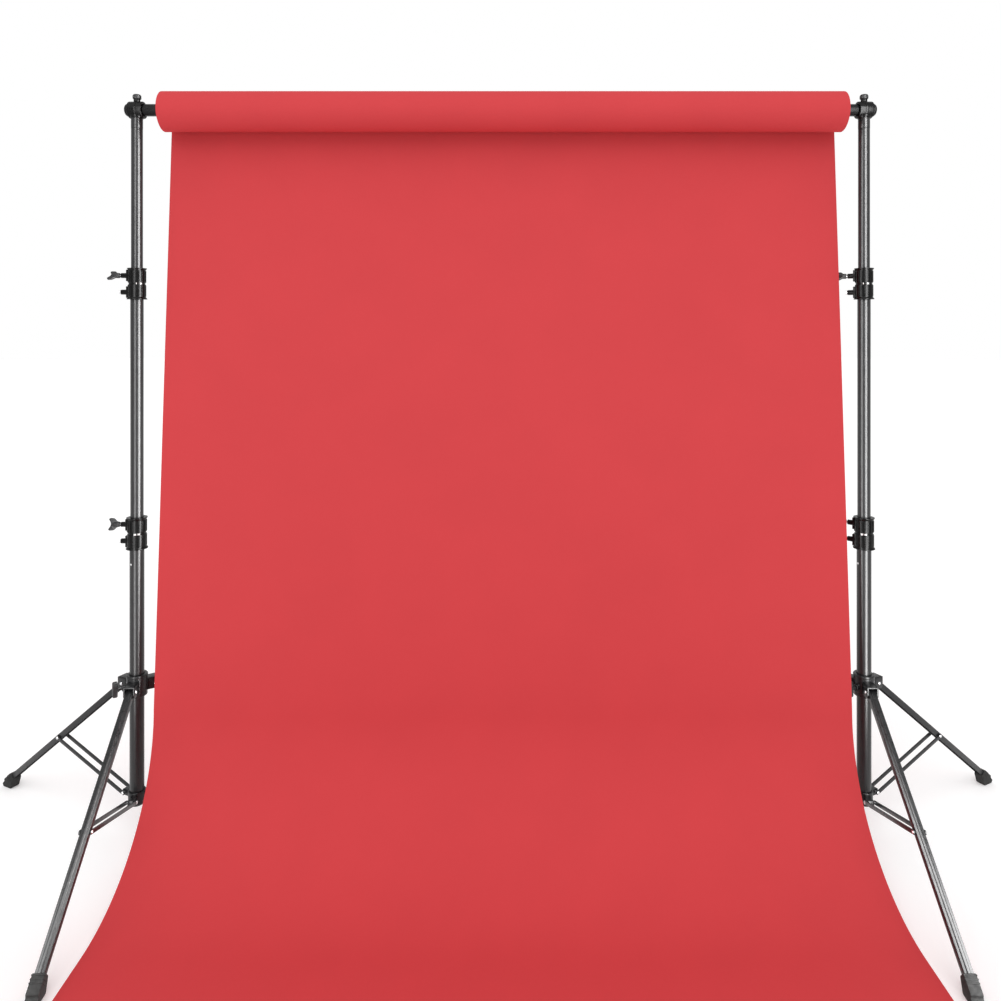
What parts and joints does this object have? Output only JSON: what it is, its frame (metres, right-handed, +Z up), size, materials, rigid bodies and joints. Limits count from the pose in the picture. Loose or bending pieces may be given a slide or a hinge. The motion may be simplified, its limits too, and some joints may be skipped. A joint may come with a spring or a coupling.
{
  "type": "backdrop paper roll",
  "caption": "Half-width roll of seamless background paper on a crossbar between two folding telescopic light stands, with the paper hung and swept forward on the floor.",
  "frame": {"origin": "on the floor, under the middle of the whole footprint", "axes": "+X along the crossbar to the right as seen from the front, +Y away from the viewer, +Z up; the paper sweeps forward towards -Y"},
  "size_m": [2.1918, 0.8391, 1.4785],
  "materials": {
    "red_paper": "matte",
    "core_board": "matte",
    "black_tube": "satin",
    "black_steel": "satin",
    "collar_plastic": "gloss",
    "knob_plastic": "satin",
    "steel_screw": "satin",
    "rubber": "matte"
  },
  "bodies": {
    "left_base": {"left_lower_tube": "black_tube", "left_lower_collar": "collar_plastic", "left_lower_set_screw": "steel_screw", "left_hub": "black_steel"},
    "left_mast": {"left_middle_tube": "black_tube", "left_upper_collar": "collar_plastic", "left_upper_set_screw": "steel_screw"},
    "right_base": {"right_lower_tube": "black_tube", "right_lower_collar": "collar_plastic", "right_lower_set_screw": "steel_screw", "right_hub": "black_steel"},
    "right_mast": {"right_middle_tube": "black_tube", "right_upper_collar": "collar_plastic", "right_upper_set_screw": "steel_screw"},
    "crossbar_frame": {"crossbar_left": "black_tube", "crossbar_right": "black_tube", "left_end_cap": "collar_plastic", "right_end_cap": "collar_plastic", "paper_sheet": "red_paper", "left_upper_tube": "black_tube", "left_top_stud": "steel_screw", "left_bar_holder": "collar_plastic", "right_upper_tube": "black_tube", "right_top_stud": "steel_screw", "right_bar_holder": "collar_plastic"},
    "paper_roll": {"cardboard_core": "core_board", "wound_paper": "red_paper"},
    "left_leg_collar": {"left_leg_collar": "black_steel"},
    "left_leg_1": {"left_leg_1": "black_steel", "left_foot_1": "rubber"},
    "left_brace_1": {"left_brace_1": "black_steel"},
    "left_leg_2": {"left_leg_2": "black_steel", "left_foot_2": "rubber"},
    "left_brace_2": {"left_brace_2": "black_steel"},
    "left_leg_3": {"left_leg_3": "black_steel", "left_foot_3": "rubber"},
    "left_brace_3": {"left_brace_3": "black_steel"},
    "left_lower_knob": {"left_lower_knob": "knob_plastic"},
    "left_upper_knob": {"left_upper_knob": "knob_plastic"},
    "left_lock_knob": {"left_lock_knob": "knob_plastic"},
    "left_holder_knob": {"left_holder_knob": "knob_plastic"},
    "right_leg_collar": {"right_leg_collar": "black_steel"},
    "right_leg_1": {"right_leg_1": "black_steel", "right_foot_1": "rubber"},
    "right_brace_1": {"right_brace_1": "black_steel"},
    "right_leg_2": {"right_leg_2": "black_steel", "right_foot_2": "rubber"},
    "right_brace_2": {"right_brace_2": "black_steel"},
    "right_leg_3": {"right_leg_3": "black_steel", "right_foot_3": "rubber"},
    "right_brace_3": {"right_brace_3": "black_steel"},
    "right_lower_knob": {"right_lower_knob": "knob_plastic"},
    "right_upper_knob": {"right_upper_knob": "knob_plastic"},
    "right_lock_knob": {"right_lock_knob": "knob_plastic"},
    "right_holder_knob": {"right_holder_knob": "knob_plastic"}
  },
  "joints": [
    {"name": "left_mast_slide", "type": "slide", "parent": "left_base", "child": "left_mast", "axis": [0, 0, 1], "range_m": [0, 0.25]},
    {"name": "left_top_slide", "type": "slide", "parent": "left_mast", "child": "crossbar_frame", "axis": [0, 0, 1], "range_m": [0, 0.25]},
    {"name": "right_top_slide", "type": "slide", "parent": "crossbar_frame", "child": "right_mast", "axis": [0, 0, -1], "range_m": [0, 0.25]},
    {"name": "right_mast_slide", "type": "slide", "parent": "right_mast", "child": "right_base", "axis": [0, 0, -1], "range_m": [0, 0.25]},
    {"name": "roll_spin", "type": "hinge", "parent": "crossbar_frame", "child": "paper_roll", "pos_m": [0.0081, 0.1805, 1.439], "axis": [1, 0, 0], "continuous": true},
    {"name": "left_collar_slide", "type": "slide", "parent": "left_base", "child": "left_leg_collar", "axis": [0, 0, 1], "range_m": [0, 0.235]},
    {"name": "left_leg_1_hinge", "type": "hinge", "parent": "left_leg_collar", "child": "left_leg_1", "pos_m": [-0.75006, 0.19497, 0.2985], "axis": [-0.4384, -0.8988, 0], "range_deg": [0, 46.28]},
    {"name": "left_brace_1_hinge", "type": "hinge", "parent": "left_base", "child": "left_brace_1", "pos_m": [-0.74647, 0.19321, 0.081], "axis": [-0.4384, -0.8988, 0], "range_deg": [-63.7, 0]},
    {"name": "left_leg_2_hinge", "type": "hinge", "parent": "left_leg_collar", "child": "left_leg_2", "pos_m": [-0.69304, 0.19895, 0.2985], "axis": [-0.5592, 0.829, 0], "range_deg": [0, 46.28]},
    {"name": "left_brace_2_hinge", "type": "hinge", "parent": "left_base", "child": "left_brace_2", "pos_m": [-0.69636, 0.19672, 0.081], "axis": [-0.5592, 0.829, 0], "range_deg": [-63.7, 0]},
    {"name": "left_leg_3_hinge", "type": "hinge", "parent": "left_leg_collar", "child": "left_leg_3", "pos_m": [-0.7181, 0.14758, 0.2985], "axis": [0.9976, 0.0698, 0], "range_deg": [0, 46.28]},
    {"name": "left_brace_3_hinge", "type": "hinge", "parent": "left_base", "child": "left_brace_3", "pos_m": [-0.71838, 0.15157, 0.081], "axis": [0.9976, 0.0698, 0], "range_deg": [-63.7, 0]},
    {"name": "left_lower_knob_turn", "type": "hinge", "parent": "left_base", "child": "left_lower_knob", "pos_m": [-0.7542, 0.1805, 0.618], "axis": [-1, 0, 0], "range_deg": [0, 270]},
    {"name": "left_upper_knob_turn", "type": "hinge", "parent": "left_mast", "child": "left_upper_knob", "pos_m": [-0.7542, 0.1805, 1.113], "axis": [-1, 0, 0], "range_deg": [0, 270]},
    {"name": "left_lock_knob_turn", "type": "hinge", "parent": "left_leg_collar", "child": "left_lock_knob", "pos_m": [-0.74303, 0.16523, 0.2985], "axis": [-0.829, -0.5592, 0], "range_deg": [0, 270]},
    {"name": "left_holder_knob_turn", "type": "hinge", "parent": "crossbar_frame", "child": "left_holder_knob", "pos_m": [-0.7204, 0.1805, 1.4628], "axis": [0, 0, 1], "range_deg": [0, 270]},
    {"name": "right_collar_slide", "type": "slide", "parent": "right_base", "child": "right_leg_collar", "axis": [0, 0, 1], "range_m": [0, 0.235]},
    {"name": "right_leg_1_hinge", "type": "hinge", "parent": "right_leg_collar", "child": "right_leg_1", "pos_m": [0.75574, 0.19599, 0.2985], "axis": [-0.4695, 0.8829, 0], "range_deg": [0, 46.28]},
    {"name": "right_brace_1_hinge", "type": "hinge", "parent": "right_base", "child": "right_brace_1", "pos_m": [0.75221, 0.19412, 0.081], "axis": [-0.4695, 0.8829, 0], "range_deg": [-63.7, 0]},
    {"name": "right_leg_2_hinge", "type": "hinge", "parent": "right_leg_collar", "child": "right_leg_2", "pos_m": [0.69861, 0.19799, 0.2985], "axis": [-0.5299, -0.848, 0], "range_deg": [0, 46.28]},
    {"name": "right_brace_2_hinge", "type": "hinge", "parent": "right_base", "child": "right_brace_2", "pos_m": [0.70201, 0.19587, 0.081], "axis": [-0.5299, -0.848, 0], "range_deg": [-63.7, 0]},
    {"name": "right_leg_3_hinge", "type": "hinge", "parent": "right_leg_collar", "child": "right_leg_3", "pos_m": [0.72545, 0.14752, 0.2985], "axis": [0.9994, -0.0349, 0], "range_deg": [0, 46.28]},
    {"name": "right_brace_3_hinge", "type": "hinge", "parent": "right_base", "child": "right_brace_3", "pos_m": [0.72559, 0.15152, 0.081], "axis": [0.9994, -0.0349, 0], "range_deg": [-63.7, 0]},
    {"name": "right_lower_knob_turn", "type": "hinge", "parent": "right_base", "child": "right_lower_knob", "pos_m": [0.70071, 0.20223, 0.618], "axis": [-0.766, 0.6428, 0], "range_deg": [0, 270]},
    {"name": "right_upper_knob_turn", "type": "hinge", "parent": "right_mast", "child": "right_upper_knob", "pos_m": [0.70071, 0.20223, 1.113], "axis": [-0.766, 0.6428, 0], "range_deg": [0, 270]},
    {"name": "right_lock_knob_turn", "type": "hinge", "parent": "right_leg_collar", "child": "right_lock_knob", "pos_m": [0.7025, 0.16768, 0.2985], "axis": [-0.8829, -0.4695, 0], "range_deg": [0, 270]},
    {"name": "right_holder_knob_turn", "type": "hinge", "parent": "crossbar_frame", "child": "right_holder_knob", "pos_m": [0.7266, 0.1805, 1.4628], "axis": [0, 0, 1], "range_deg": [0, 270]}
  ],
  "couplings": [
    {"joint": "right_top_slide", "follows": "left_top_slide", "ratio": 1},
    {"joint": "right_mast_slide", "follows": "left_mast_slide", "ratio": 1},
    {"joint": "left_leg_1_hinge", "follows": "left_collar_slide", "rad_per_m": 3.4368},
    {"joint": "left_brace_1_hinge", "follows": "left_collar_slide", "rad_per_m": -4.73},
    {"joint": "left_leg_2_hinge", "follows": "left_collar_slide", "rad_per_m": 3.4368},
    {"joint": "left_brace_2_hinge", "follows": "left_collar_slide", "rad_per_m": -4.73},
    {"joint": "left_leg_3_hinge", "follows": "left_collar_slide", "rad_per_m": 3.4368},
    {"joint": "left_brace_3_hinge", "follows": "left_collar_slide", "rad_per_m": -4.73},
    {"joint": "right_leg_1_hinge", "follows": "right_collar_slide", "rad_per_m": 3.4368},
    {"joint": "right_brace_1_hinge", "follows": "right_collar_slide", "rad_per_m": -4.73},
    {"joint": "right_leg_2_hinge", "follows": "right_collar_slide", "rad_per_m": 3.4368},
    {"joint": "right_brace_2_hinge", "follows": "right_collar_slide", "rad_per_m": -4.73},
    {"joint": "right_leg_3_hinge", "follows": "right_collar_slide", "rad_per_m": 3.4368},
    {"joint": "right_brace_3_hinge", "follows": "right_collar_slide", "rad_per_m": -4.73}
  ]
}
